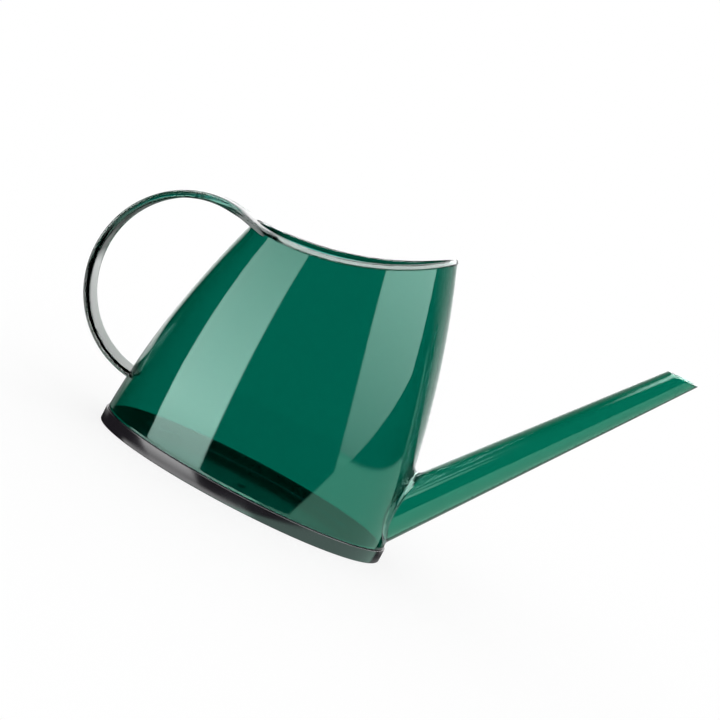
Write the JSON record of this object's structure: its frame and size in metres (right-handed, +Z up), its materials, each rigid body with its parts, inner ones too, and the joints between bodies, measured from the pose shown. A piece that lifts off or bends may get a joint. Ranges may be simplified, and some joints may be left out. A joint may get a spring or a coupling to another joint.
{
  "type": "watering can",
  "caption": "Clear green plastic watering can with a tapering oval body, saddle-shaped mouth, looped strap handle and a long straight spout.",
  "frame": {"origin": "centre of the underside, on the plane that the foot of the base stands on", "axes": "+X from the handle towards the spout, +Z up, +Y to the left as seen from the handle"},
  "size_m": [0.338, 0.099, 0.1753],
  "materials": {
    "base": "opaque smoke grey, satin",
    "seam": "dark bonded seam",
    "shell": "clear green, polished",
    "rim": "clear green, polished",
    "handle": "clear green, polished",
    "spout": "clear green, polished",
    "joint": "clear green, slightly rough"
  },
  "bodies": {
    "root": {"base": "base", "base_seam": "seam", "body_shell": "shell", "rim_bead": "rim", "handle": "handle", "spout": "spout", "spout_joint_ring": "joint"}
  },
  "joints": []
}
